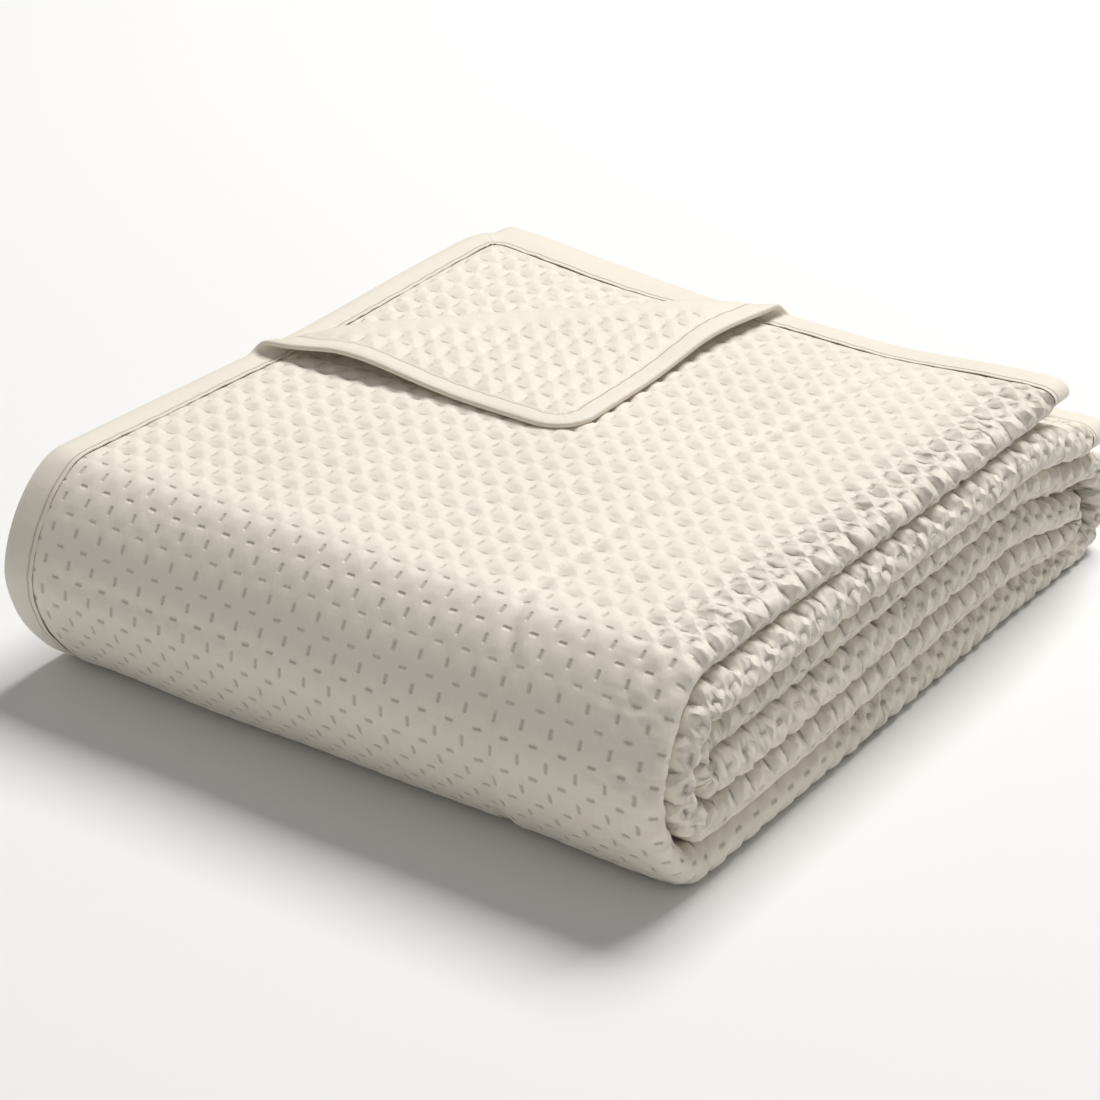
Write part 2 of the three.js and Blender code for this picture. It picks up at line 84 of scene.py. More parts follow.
FOLDS = (
    {"side": 1, "start": 369.0, "depth": 10.0},
    {"side": -1, "start": 12.0, "depth": 8.0},
    {"side": 1, "start": 367.0, "depth": 2.0},
    {"side": -1, "start": 13.0, "depth": 2.5},
    {"side": 1, "start": 369.0, "depth": 5.6},
)
SECOND_EDGE = -3.0
MIDDLE_GAP = 2.9
FLAT_ROWS = 61
TURN_ROWS = 47
CORNER_LEG = 215.0
TURNED_BAND = 12.0
TURN_RADIUS = 6.5
TURN_END_RADIUS = 3.8
CORNER_ROUND = 24.0
TIP_HEIGHT = 3.4
PEEK_BACK = 13.0
PEEK_LEFT = 4.0


def smooth(value, low, high):
    part = np.clip((value - low) / (high - low), 0, 1)
    return part * part * (3 - 2 * part)


def bell(value, middle, width):
    return np.exp(-((value - middle) / width) ** 2)


def mix(a, b, part):
    return a + (b - a) * part


def settle(x, y, z):
    """The pile isn't even: its corners stand up, its back edge dips and its rolls wander."""
    share = z / PILE_HEIGHT
    across = x / PILE_WIDTH
    rear = smooth(y, 180, 410)
    lift = rear * (1.5 + 9 * bell(x, 0, 95) + 3 * smooth(x, 280, 380)) * share
    lift = lift - 2.5 * bell(x, 268, 44) * smooth(y, 250, 395) * share**4
    lift = lift + 0.8 * np.sin(x / 61 + 1) * np.sin(y / 83) * share**3
    sway = 2.2 * np.sin(y / 74 + 0.4) * np.sin(z / 23) * across
    lean = 2.5 * (across - 0.5) * (1 - smooth(y, 0, 90)) * share
    lean = lean + 11 * bell(x, 0, 75) * smooth(y, 290, 395) * share**6
    return np.stack([x + sway - ORIGIN_X, y + lean - ORIGIN_Y, z + lift], axis=-1)


def layer_at(name, y):
    """Height of a layer's middle over the floor and the gap between its sheets."""
    layer = LAYERS[name]
    stations = np.array([*STATIONS, layer["end"]])
    k = np.clip(np.searchsorted(stations, y) - 1, 0, 2)
    part = smooth(y, stations[k], stations[k + 1])
    gap = mix(np.array(layer["gap"])[k], np.array(layer["gap"])[k + 1], part)
    under = mix(np.array(layer["under"])[k], np.array(layer["under"])[k + 1], part)
    return under + 2.5 * gap + HALF_SHEET, gap


def trace_strip():
    """Middle line of the strip, from the free end of the top layer to that of the second, with
    the length of the cloth on whichever side of the strip is outside."""
    rows = []
    at = LAYERS["top"]["end"]
    for bend in BENDS:
        start = BEND_START if bend["side"] < 0 else LAYERS[bend["from"]]["end"]
        for y in np.linspace(at, start, FLAT_ROWS):
            rows.append((y, *layer_at(bend["from"], y), LAYERS[bend["from"]]["reach"]))
        z_from, gap_from = layer_at(bend["from"], start)
        z_to, gap_to = layer_at(bend["to"], start)
        middle, half, turn = (z_from + z_to) / 2, abs(z_from - z_to) / 2, np.sign(z_from - z_to)
        for part in np.linspace(0, 1, TURN_ROWS + 2)[1:-1]:
            angle = math.pi * (part - 0.5)
            rise = -math.sin(angle) * turn
            power = 2 / (bend["upper"] if rise > 0 else bend["lower"])
            ease = smooth(min(1, 4 * min(part, 1 - part)), 0, 1)
            rows.append((
                start + bend["side"] * bend["depth"] * math.cos(angle) ** power,
                middle + half * math.copysign(abs(rise) ** power, rise),
                mix(gap_from if part < 0.5 else gap_to, bend["gap"], ease),
                mix(LAYERS[bend["from"]]["reach"], LAYERS[bend["to"]]["reach"], part),
            ))
        at = start
    for y in np.linspace(at, LAYERS["second"]["end"], FLAT_ROWS):
        rows.append((y, *layer_at("second", y), LAYERS["second"]["reach"]))
    y, z, gap, reach = np.array([[float(value) for value in row] for row in rows]).T
    run = np.gradient(y)
    climb = np.gradient(z)
    length = np.hypot(run, climb)
    normal_y, normal_z = climb / length, -run / length
    steps = [np.hypot(np.diff(y + level * gap * normal_y), np.diff(z + level * gap * normal_z))
             for level in (2.5, -2.5)]
    along = np.concatenate([[0], np.cumsum(np.maximum(*steps))])
    return {"t": along, "y": y, "z": z, "gap": gap, "reach": reach, "ny": normal_y, "nz": normal_z}


STRIP = trace_strip()
CLOTH_LENGTH = STRIP["t"][-1]


def strip_at(t):
    """Middle of the strip at a length along the cloth, with its normal, gap and reach."""
    return {key: np.interp(t, STRIP["t"], STRIP[key]) for key in ("y", "z", "gap", "reach", "ny", "nz")}


def trace_section():
    """The flats and folds of the strip's section in the order of the cloth, with their lengths."""
    segments = []
    names = list(SHEETS)
    at, x = 0.0, 0.0
    for k, name in enumerate(names):
        x_end = FOLDS[k]["start"] if k < len(FOLDS) else SECOND_EDGE
        segments.append({"sheet": name, "s": (at, at + abs(x_end - x)), "x": (x, x_end)})
        at += abs(x_end - x)
        x = x_end
        if k < len(FOLDS):
            levels = SHEETS[name]["level"], SHEETS[names[k + 1]]["level"]
            rise = (levels[0] - levels[1]) / 2
            angle = np.linspace(0, math.pi, 65)
            curve_x = FOLDS[k]["depth"] * np.sin(angle)
            curve_z = abs(rise) * MIDDLE_GAP * np.cos(angle)
            travelled = np.concatenate([[0], np.cumsum(np.hypot(np.diff(curve_x), np.diff(curve_z)))])
            segments.append({
                "fold": FOLDS[k],
                "s": (at, at + travelled[-1]),
                "angle": (travelled / travelled[-1], angle),
                "rise": rise,
                "middle": sum(levels) / 2,
                "face_out": np.sign(rise) * SHEETS[name]["face"],
            })
            at += travelled[-1]
    return segments


SECTION = trace_section()
CLOTH_WIDTH = SECTION[-1]["s"][1]
FIRST_FOLD = SECTION[1]["s"]


def across_section(s, gap, offset):
    """Place across the strip and height over its middle, for a point offset to the cloth's face."""
    x = np.zeros_like(s)
    height = np.zeros_like(s)
    for segment in SECTION:
        low, high = segment["s"]
        here = (s >= low) & (s <= high) if high < CLOTH_WIDTH else s >= low
        part = (s[here] - low) / (high - low)
        if "sheet" in segment:
            sheet = SHEETS[segment["sheet"]]
            x[here] = mix(*segment["x"], part)
            height[here] = sheet["level"] * gap[here] + sheet["face"] * offset[here]
            continue
        fold = segment["fold"]
        angle = np.interp(part, *segment["angle"])
        out = segment["face_out"] * offset[here]
        x[here] = fold["start"] + fold["side"] * np.maximum(0.4, fold["depth"] + out) * np.sin(angle)
        rise = abs(segment["rise"]) * gap[here] + out
        height[here] = segment["middle"] * gap[here] + np.sign(segment["rise"]) * rise * np.cos(angle)
    return x, height


def round_corner(a, b):
    """Distances from two edges of the cloth, bent where its corner is cut round, so that every
    line beside the edges follows the round."""
    inside = (a < CORNER_ROUND) & (b < CORNER_ROUND)
    u = np.where(inside, CORNER_ROUND - a, 0)
    v = np.where(inside, CORNER_ROUND - b, 0)
    pull = np.maximum(u, v) / np.maximum(np.hypot(u, v), 0.001)
    return np.where(inside, CORNER_ROUND - u * pull, a), np.where(inside, CORNER_ROUND - v * pull, b)


def place(s, t, offset):
    """Where a point of the flat cloth lies in the pile: s from its first long edge, t from the
    short end that is on top, and offset from the middle of the sheet to its face."""
    s, t, offset = np.broadcast_arrays(*(np.asarray(value, float) for value in (s, t, offset)))
    for turned_s in (False, True):
        for turned_t in (False, True):
            a = CLOTH_WIDTH - s if turned_s else s
            b = CLOTH_LENGTH - t if turned_t else t
            a, b = round_corner(a, b)
            s = CLOTH_WIDTH - a if turned_s else a
            t = CLOTH_LENGTH - b if turned_t else b
    node = strip_at(t)
    x, height = across_section(s, node["gap"], offset)
    y = node["y"] + height * node["ny"]
    z = node["z"] + height * node["nz"]
    # the ends of the middle sheets peek out behind the corner of the second sheet
    peeks = (s > FIRST_FOLD[1]) & (s < SECTION[-1]["s"][0]) & (t < 90)
    peeks = peeks * smooth(90 - t, 0, 80) * (1 - smooth(x, 90, 220))
    x = x - PEEK_LEFT * peeks
    y = y + PEEK_BACK * peeks
    # the turned corner lies over the rest of the first sheet
    across, along = s, LAYERS["top"]["end"] - node["y"]
    beyond = (CORNER_LEG - across - along) / math.sqrt(2)
    turned = (s < FIRST_FOLD[0]) & (t < CORNER_LEG + 5) & (beyond > 0)
    radius = mix(TURN_RADIUS, TURN_END_RADIUS, smooth(np.abs(across - along) / math.sqrt(2), 80, 150))
    tilt = np.clip(beyond / radius, 0, math.pi)
    arc = math.pi * radius
    past = np.maximum(0, beyond - arc)
    out = radius * np.sin(tilt) - past
    slope = (2 * radius - TIP_HEIGHT) / (CORNER_LEG / math.sqrt(2) - arc - CORNER_ROUND / 2)
    rise = radius * (1 - np.cos(tilt)) - slope * past
    # its edges aren't even: the long one rises near the fold and then drops, the other one sags
    rise = rise + 2.5 * bell(t, 150, 34) * np.exp(-s / 40) * smooth(past, 0, 30)
    rise = rise - 1.8 * bell(t, 70, 36) * np.exp(-s / 45) - 2.2 * bell(s, 80, 42) * np.exp(-t / 40)
    shift = (out - beyond) / math.sqrt(2)
    side = offset * np.sin(tilt) / math.sqrt(2)
    flap_x = across - shift + side
    flap_y = LAYERS["top"]["end"] - along + shift - side
    base, gap = layer_at("top", np.minimum(flap_y, LAYERS["top"]["end"]))
    flap_z = base + 2.5 * gap + rise + offset * np.cos(tilt)
    x = np.where(turned, flap_x, x)
    y = np.where(turned, flap_y, y)
    z = np.where(turned, flap_z, z)
    x = x + node["reach"] * smooth(x, 120, PILE_WIDTH)
    return settle(x, y, z)


def front_at(height):
    """Length along the cloth where its front bend is at a height over the floor."""
    t = np.linspace(390, 560, 1700)
    front = strip_at(t)
    return float(np.interp(-height, -(front["z"] + 2.5 * front["gap"] * front["nz"]), t))


FIRST_ROW_HEIGHT = 5.46 * REPEAT
ROW_START = front_at(FIRST_ROW_HEIGHT)
COLUMN_START = 0.2 * REPEAT
DASH_ACROSS = 0.085
DASH_ALONG = 0.105
LONG_CREASE = {
    "t": (0, 73, 220, 353, 385, 430, 480, 560),
    "s": (296, 287, 277, 284, 296, 291, 285, 283),
}
FRONT_CREASE = front_at(67)
FRONT_FROM = (335, 372)
FRONT_TO = (590, 640)


def lattice(s, t):
    """Place in repeats of the quilting, a little uneven, with its long dashes at whole numbers."""
    u = (s - COLUMN_START) / REPEAT + 0.035 * np.sin(t / 19 + s / 47) + 0.025 * np.sin(t / 7.3)
    v = (t - ROW_START) / REPEAT + 0.035 * np.sin(s / 23 - t / 61) + 0.02 * np.sin(s / 8.1)
    return u, v


def hollow_at(u, v, half_u, half_v):
    """1 in the middle of the nearest hollow round whole numbers of u and v, falling to 0."""
    du, dv = u - np.round(u), v - np.round(v)
    return np.exp(-(du / half_u) ** 2 - (dv / half_v) ** 2)


def ridged(angle):
    return (1 - np.abs(np.sin(angle))) ** 2


def wrinkles(s, t):
    """Small uneven puckers that run over a roll and branch."""
    warp = 1.1 * np.sin(s / 8 + 1.7 * np.sin(t / 31)) + 0.6 * np.sin(s / 4.3 + t / 17)
    return 0.6 * ridged(t / 3.4 + warp) + 0.8 * ridged(t / 6.1 - 0.9 * warp + 2 * np.sin(t / 57))


def relief(s, t):
    """Height of the quilting's pillows over its dashes. They are nearly flat on the front, fuller
    on top and drawn into sharp puckers where the strip is folded."""
    u, v = lattice(s, t)
    leaf = hollow_at(u, v, 0.34, 0.19)
    nick = hollow_at(u - 0.5, v - 0.5, 0.16, 0.3)
    from_roll = np.abs(s - (FIRST_FOLD[0] + FIRST_FOLD[1]) / 2)
    front_part = smooth(t, *FRONT_FROM) * (1 - smooth(t, *FRONT_TO))
    roll = (1 - smooth(from_roll, 10, 40)) * (1 - 0.5 * front_part)
    uneven = 1 + 0.35 * np.sin(u * 2.1 + v * 1.3) * np.sin(v * 1.7 - u * 0.8)
    top_depth = 2.1 * leaf + 0.9 * nick
    front_depth = 0.5 * leaf + 0.45 * nick
    roll_depth = 3.4 * leaf + 3.6 * nick - 1.2 * wrinkles(s, t)
    depth = mix(mix(top_depth, front_depth, front_part), roll_depth, roll) * uneven
    return 1.2 + roll - depth * (1 - 0.85 * smooth(turn_part(s, t), 0, 1))


def turn_part(s, t):
    """1 on the turned fold, where the stretched cloth is smooth, falling to 0 beside it."""
    beyond = (CORNER_LEG - s - t) / math.sqrt(2)
    return np.where(s < FIRST_FOLD[0], bell(beyond, math.pi * TURN_RADIUS, 9), 0)


def creases(s, t):
    """Soft troughs where the cloth was folded in its pack: along its length and over the front."""
    from_long = s - np.interp(t, LONG_CREASE["t"], LONG_CREASE["s"])
    trough = 1.5 * bell(from_long, 0, 4) - 0.7 * bell(from_long, 8, 5)
    across = 0.9 * bell(t, FRONT_CREASE, 5) * (1 - smooth(s, 110, 190))
    sway = 0.5 * np.sin(s / 37 + 1.3) * np.sin(t / 29) + 0.35 * np.sin(s / 19 - t / 47)
    return sway - trough - across


def past_band(s, t, side):
    """Distance from the bindings' inner edge, which is nearer the fold on the turned corner."""
    edge = np.minimum(np.minimum(s, CLOTH_WIDTH - s), np.minimum(t, CLOTH_LENGTH - t))
    narrow = (side < 0) * (1 - smooth(s + t, CORNER_LEG - 20, CORNER_LEG))
    return edge - mix(BAND, TURNED_BAND, narrow)


def lines(stops):
    """Places of grid lines: stops are (place, spacing up to the next place)."""
    places = []
    for (low, spacing), (high, unused) in zip(stops, stops[1:]):
        count = max(1, round((high - low) / spacing))
        places.extend(np.linspace(low, high, count + 1)[:-1])
    return np.array(places + [stops[-1][0]])


def flat_slab(s_lines, t_lines):
    """Bmesh of a closed flat slab over the grid lines, its face at z 0 and its back at z -1."""
    bm = bmesh.new()
    bmesh.ops.create_grid(bm, x_segments=len(s_lines) - 1, y_segments=len(t_lines) - 1, size=1)
    for vert in bm.verts:
        i = round((vert.co.x + 1) / 2 * (len(s_lines) - 1))
        j = round((vert.co.y + 1) / 2 * (len(t_lines) - 1))
        vert.co = (s_lines[i], t_lines[j], 0)
    bmesh.ops.solidify(bm, geom=bm.faces[:], thickness=1)
    for edge in bm.edges:
        edge.smooth = edge.calc_face_angle(0) < 1
    return bm


def refine(bm, region, target):
    """Splits the edges whose two ends are in the region until they are about target long."""
    for axis in (0, 1):
        cuts_wanted = {}
        for edge in bm.edges:
            a, b = (vert.co for vert in edge.verts)
            span = b - a
            if abs(span[axis]) < 1.3 * target or abs(span[1 - axis]) > 0.01 or abs(span.z) > 0.01:
                continue
            middle = (a + b) / 2
            if region(middle.x, middle.y, middle.z > -0.5):
                cuts_wanted.setdefault(round(abs(span[axis]) / target) - 1, []).append(edge)
        for cuts, edges in cuts_wanted.items():
            if cuts > 0:
                edges = [edge for edge in edges if edge.is_valid]
                bmesh.ops.subdivide_edges(bm, edges=edges, cuts=cuts, use_grid_fill=True)


def fold_into_pile(bm, name, place_points, uv_points):
    """Folds the flat bmesh into the pile and makes it an object with its flat places as its UVs."""
    mesh = bpy.data.meshes.new(name)
    bm.to_mesh(mesh)
    bm.free()
    flat = np.zeros(len(mesh.vertices) * 3, np.float32)
    mesh.vertices.foreach_get("co", flat)
    flat = flat.reshape(-1, 3).astype(float)
    folded = place_points(flat) / 1000
    mesh.vertices.foreach_set("co", folded.astype(np.float32).ravel())
    loop_verts = np.zeros(len(mesh.loops), np.int32)
    mesh.loops.foreach_get("vertex_index", loop_verts)
    layer = mesh.uv_layers.new(name="flat")
    layer.data.foreach_set("uv", uv_points(flat)[loop_verts].astype(np.float32).ravel())
    mesh.update()
    bm = bmesh.new()
    bm.from_mesh(mesh)
    if bm.calc_volume(signed=True) < 0:
        bmesh.ops.reverse_faces(bm, faces=bm.faces[:])
    for face in bm.faces:
        face.smooth = True
    bm.to_mesh(mesh)
    bm.free()
    piece = bpy.data.objects.new(name, mesh)
    bpy.context.scene.collection.objects.link(piece)
    return piece


def bend_span(index):
    """Lengths along the cloth at the start and the end of a bend of the strip."""
    start = FLAT_ROWS - 1 + (FLAT_ROWS + TURN_ROWS) * index
    return STRIP["t"][start], STRIP["t"][start + TURN_ROWS + 1]


BEND_T = [bend_span(index) for index in range(len(BENDS))]
INSET = 4.0
EDGE_STEP = 3.5
BEND_STEP = 4.0
FRONT_STEP = 5.0
OPEN_STEP = 8.4
HIDDEN_STEP = 34.0
RELIEF_STEP = OPEN_STEP / 3
BACK_STEP = 3.75

s_stops = [
    (INSET, EDGE_STEP),
    (BAND + EDGE_STEP, OPEN_STEP),
    (FIRST_FOLD[0], EDGE_STEP),
    (FIRST_FOLD[1], OPEN_STEP),
    (FIRST_FOLD[1] + 30, HIDDEN_STEP),
]
for segment in SECTION[2:-1]:
    if "fold" in segment:
        s_stops += [(segment["s"][0], EDGE_STEP), (segment["s"][1], HIDDEN_STEP)]
s_stops += [(CLOTH_WIDTH - BAND - EDGE_STEP, EDGE_STEP), (CLOTH_WIDTH - INSET, 0)]
t_stops = [
    (INSET, EDGE_STEP),
    (BAND + EDGE_STEP, OPEN_STEP),
    (BEND_T[0][0], FRONT_STEP),
    (BEND_T[0][1], HIDDEN_STEP),
]
for start, end in BEND_T[1:]:
    t_stops += [(start, BEND_STEP), (end, HIDDEN_STEP)]
t_stops += [(CLOTH_LENGTH - BAND - EDGE_STEP, EDGE_STEP), (CLOTH_LENGTH - INSET, 0)]
bm = flat_slab(lines(s_stops), lines(t_stops))


def open_face(s, t, is_face):
    """The parts of the cloth's two sides that show, from any side of the pile."""
    if past_band(s, t, 1 if is_face else -1) < -1:
        return False
    if is_face:
        top_and_front = s < FIRST_FOLD[1] and t < BEND_T[0][1] and s + t > CORNER_LEG - 8
        return top_and_front or FIRST_FOLD[0] - 16 < s < FIRST_FOLD[1] + 12
    return s + t < CORNER_LEG or CLOTH_WIDTH - s + t < CORNER_LEG + 8


def half_open_face(s, t, is_face):
    """The back bend and the rear of the second layer, which show from behind."""
    if not is_face or past_band(s, t, 1) < -1:
        return False
    back_bend = s < FIRST_FOLD[0] and BEND_T[1][0] - 25 < t < BEND_T[1][1] + 25
    second_rear = FIRST_FOLD[1] < s < SECTION[2]["s"][1] and t > CLOTH_LENGTH - 75
    return back_bend or second_rear


refine(bm, open_face, RELIEF_STEP)
refine(bm, half_open_face, BACK_STEP)


def place_panel(flat):
    """Folds the panel's points, with the relief where the cloth shows and thin cloth elsewhere."""
    s, t = flat[:, 0], flat[:, 1]
    side = np.where(flat[:, 2] > -0.5, 1.0, -1.0)
    inside = past_band(s, t, side)
    on_top = (t < BEND_T[0][1]) & (s + t > CORNER_LEG)
    face_shown = (side > 0) & (s < FIRST_FOLD[1] + 40) & ((s > FIRST_FOLD[0] - 40) | on_top)
    behind = (side > 0) & (t > BEND_T[1][0] - 40) & (t < BEND_T[1][1] + 40) & (s < FIRST_FOLD[1])
    behind |= (side > 0) & (s < SECTION[2]["s"][1]) & (t > CLOTH_LENGTH - 75)
    turned = (side < 0) & (s + t < CORNER_LEG)
    under_it = (side < 0) & (CLOTH_WIDTH - s + t < CORNER_LEG + 20)
    shown = (face_shown | behind | turned | under_it) * smooth(inside, -1, 4)
    shown = shown * np.where(side > 0, smooth(FIRST_FOLD[1] + 34 - s, 0, 10) + behind, 1)
    height = mix(0.35, 0.75, smooth(inside, -2, 3)) + relief(s, t) * np.minimum(shown, 1)
    middle = np.where(on_top & (s < FIRST_FOLD[0]), creases(s, t) * smooth(inside, 0, 20), 0)
    middle = middle * smooth(FIRST_FOLD[0] - s, 0, 20) * smooth(s + t - CORNER_LEG, 0, 25)
    points = place(s, t, side * height + middle)
    # the cloth's weight presses it flat on what it lies on
    points[:, 2] = np.maximum(points[:, 2], np.where(side > 0, 0.1, 1.4))
    return points


def panel_uv(flat):
    return np.stack(lattice(flat[:, 0], flat[:, 1]), axis=-1)


panel = fold_into_pile(bm, "quilted_cloth", place_panel, panel_uv)


class Socket:
    """A node's output, with the operators that shader maths needs."""

    def __init__(self, tree, link):
        self.tree = tree
        self.link = link

    def math(self, operation, *others):
        return self.tree.node("ShaderNodeMath", {"operation": operation}, [self, *others])

    def __add__(self, other):
        return self.math("ADD", other)

    def __radd__(self, other):
        return self.math("ADD", other)

    def __sub__(self, other):
        return self.math("SUBTRACT", other)

    def __rsub__(self, other):
        return self.tree.node("ShaderNodeMath", {"operation": "SUBTRACT"}, [other, self])

    def __mul__(self, other):
        return self.math("MULTIPLY", other)

    def __rmul__(self, other):
        return self.math("MULTIPLY", other)

    def __truediv__(self, other):
        return self.math("DIVIDE", other)

    def __abs__(self):
        return self.math("ABSOLUTE")


class Finish:
    """A material, with one method that adds any node."""

    def __init__(self, name):
        self.material = bpy.data.materials.new(name)
        self.material.use_nodes = True
        self.nodes = self.material.node_tree.nodes
        self.links = self.material.node_tree.links
        self.shader = self.nodes["Principled BSDF"]

    def node(self, kind, settings=None, inputs=(), output=0):
        node = self.nodes.new(kind)
        for key, value in (settings or {}).items():
            setattr(node, key, value)
        pairs = inputs.items() if isinstance(inputs, dict) else enumerate(inputs)
        for key, value in pairs:
            self.feed(node.inputs[key], value)
        return Socket(self, node.outputs[output])

    def feed(self, socket, value):
        if isinstance(value, Socket):
            self.links.new(value.link, socket)
        else:
            socket.default_value = value

    def give(self, **values):
        for name, value in values.items():
            self.feed(self.shader.inputs[name.replace("_", " ")], value)

    def blend(self, factor, a, b):
        return self.node("ShaderNodeMix", {"data_type": "RGBA"}, {0: factor, 6: a, 7: b}, output=2)


def colour(red, green, blue):
    """Linear colour of an 8-bit screen colour."""
    values = [value / 255 for value in (red, green, blue)]
    return (*[v / 12.92 if v <= 0.04045 else ((v + 0.055) / 1.055) ** 2.4 for v in values], 1)


quilting = Finish("quilted cloth")
flat_place = quilting.node("ShaderNodeUVMap", {"uv_map": "flat"})
u = quilting.node("ShaderNodeSeparateXYZ", inputs=[flat_place])
v = Socket(quilting, u.link.node.outputs["Y"])


def from_dash(u, v, half_u, half_v):
    """Distance to the nearest dash centred on whole numbers of u and v, in repeats."""
    over_u = (abs(u - u.math("ROUND")) - half_u).math("MAXIMUM", 0)
    over_v = (abs(v - v.math("ROUND")) - half_v).math("MAXIMUM", 0)
    return (over_u * over_u + over_v * over_v).math("SQRT")


SLIT_HALF = 0.085
near_dash = from_dash(u, v, DASH_ACROSS, 0.0).math(
    "MINIMUM", from_dash(u - 0.5, v - 0.5, 0.0, DASH_ALONG))
slit = (1 - near_dash / SLIT_HALF).math("MAXIMUM", 0)
weave = quilting.node("ShaderNodeTexNoise", {"noise_dimensions": "2D"},
                      {"Vector": flat_place, "Scale": 26.0, "Detail": 3.0, "Roughness": 0.6})
stretched = quilting.node("ShaderNodeMapping", inputs={"Vector": flat_place, "Scale": (1.0, 0.35, 1.0)})
crumple = quilting.node("ShaderNodeTexNoise", {"noise_dimensions": "2D"}, {
    "Vector": stretched, "Scale": 2.4, "Detail": 3.0, "Roughness": 0.55, "Distortion": 0.4})
mottle = quilting.node("ShaderNodeTexNoise", {"noise_dimensions": "2D"},
                       {"Vector": flat_place, "Scale": 0.22, "Detail": 2.0})


def between(value, low, high):
    """0 below low, 1 above high and a soft step from one to the other."""
    return quilting.node("ShaderNodeMapRange", {"interpolation_type": "SMOOTHSTEP"},
                         {"Value": value, "From Min": low, "From Max": high})


front_from = [(t - ROW_START) / REPEAT for t in FRONT_FROM]
front_to = [(t - ROW_START) / REPEAT for t in FRONT_TO]
on_front = between(v, *front_from) * (1 - between(v, *front_to))
roll_middle = ((FIRST_FOLD[0] + FIRST_FOLD[1]) / 2 - COLUMN_START) / REPEAT
on_roll = (1 - between(abs(u - roll_middle), 0.9, 3.0)) * (1 - 0.75 * on_front)
# the cloth rises from each dash to sharp uneven crests half way to its neighbours
stray = quilting.node("ShaderNodeTexNoise", {"noise_dimensions": "2D"},
                      {"Vector": flat_place, "Scale": 1.1, "Detail": 2.0}) - 0.5
stray_u = u + stray * 0.5
stray_v = v + stray * 0.3
crest = from_dash(stray_u, stray_v, 0.24, 0.0).math(
    "MINIMUM", from_dash(stray_u - 0.5, stray_v - 0.5, 0.0, 0.14)).math("POWER", 0.6)
over_roll = quilting.node("ShaderNodeMapping", inputs={"Vector": flat_place, "Scale": (0.45, 1.6, 1.0)})
ridges = {"noise_dimensions": "2D", "noise_type": "RIDGED_MULTIFRACTAL"}
pucker = quilting.node("ShaderNodeTexNoise", ridges,
                       {"Vector": over_roll, "Scale": 1.2, "Detail": 1.5, "Roughness": 0.5})
turned_by = (CORNER_LEG - COLUMN_START - ROW_START) / REPEAT - u - v
on_turn = 1 - between(abs(turned_by - math.pi * TURN_RADIUS * math.sqrt(2) / REPEAT), 0.3, 1.3)
quilted = (1 - on_turn) * (1 - 0.9 * on_front)
height = crumple * 0.5 + weave * 0.05 + pucker * (0.15 + 3.6 * on_roll)
height = height + crest * (1.5 + 4.5 * on_roll) * quilted
height = height - slit * (0.4 + 0.4 * on_front) * (1 - on_turn)
bump = quilting.node("ShaderNodeBump", inputs={"Strength": 0.9, "Distance": 0.001, "Height": height})
cloth_colour = quilting.blend(mottle, colour(233, 226, 212), colour(239, 232, 219))
# painted shade: the dash slits are darkened in the colour as if shadowed in their recesses, a little on
# top, more on the front, most in the rolls' tight folds and not on the turned fold
painted_slit_shade = slit * (0.14 + 0.3 * on_front + 0.35 * on_roll) * (1 - on_turn)
cloth_with_painted_slit_shade = quilting.blend(painted_slit_shade, cloth_colour, colour(150, 142, 126))
quilting.give(Base_Color=cloth_with_painted_slit_shade, Roughness=0.5 + 0.12 * weave, Normal=bump, Sheen_Weight=0.2,
              Sheen_Roughness=0.4, Specular_IOR_Level=0.35)
panel.data.materials.append(quilting.material)
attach(panel, "root")
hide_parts("quilted_panel")

# Bindings. Each is a strip of plain cloth, folded over the panel's edge and sewn through all
# layers, so that 18 mm show on each side. Each long edge and each short end has its own, and two
# strips meet in a mitre at each corner.
TAPE_HALF = 1.25
SEAM_IN = 2.2
MITRE_GAP = 0.01
TAPE_CLOTH = 0.5
SEAM_HALF = 0.05
PLAIN = colour(234, 227, 213)


def tape_profile(q, w):
    """Distance from the fold and offset for a point of the tape: q along its width from the
    fold, w through its cloth."""
    arc = math.pi / 2 * TAPE_HALF
    angle = np.clip(np.abs(q) / TAPE_HALF, 0, math.pi / 2)
    straight = np.maximum(np.abs(q) - arc, 0)
    radius = TAPE_HALF + w
    inward = TAPE_HALF - radius * np.cos(angle) + straight
    return inward, np.sign(q) * radius * np.sin(angle)


def tape(name, along_stops, narrows, place_tape):
    """A tape folded over an edge, from its own flat strip, and narrower on the turned corner's
    back where narrows is set."""
    arc = math.pi / 2 * TAPE_HALF
    reach = BAND - TAPE_HALF + arc
    q_lines = np.array([-reach, -reach + 1.6, -reach + 3.2, -arc - 5, -arc, -arc / 2, 0,
                        arc / 2, arc, arc + 5, reach - 3.2, reach - 1.6, reach])
    bm = flat_slab(q_lines, lines(along_stops))

    def place_points(flat):
        q, along = flat[:, 0], flat[:, 1]
        w = np.where(flat[:, 2] > -0.5, TAPE_CLOTH / 2, -TAPE_CLOTH / 2)
        inward, offset = tape_profile(q, w)
        narrow = narrows * (q < 0) * (1 - smooth(along, CORNER_LEG - 20, CORNER_LEG))
        seam = bell(inward, BAND - SEAM_IN, 1.0)
        pucker = 0.22 * np.sin(along / 2.3 + 2 * np.sin(along / 11)) * smooth(inward, 3, BAND)
        wave = 0.25 * np.sin(along / 17) * smooth(inward, 0, 6)
        offset = offset * (1 - 0.30 * seam) + np.sign(offset) * (pucker + wave) * (inward > 1)
        return place_tape(along, inward * mix(1, TURNED_BAND / BAND, narrow), offset)

    def uv_points(flat):
        return np.stack([flat[:, 0], flat[:, 1]], axis=-1) / REPEAT

    return fold_into_pile(bm, name, place_points, uv_points)


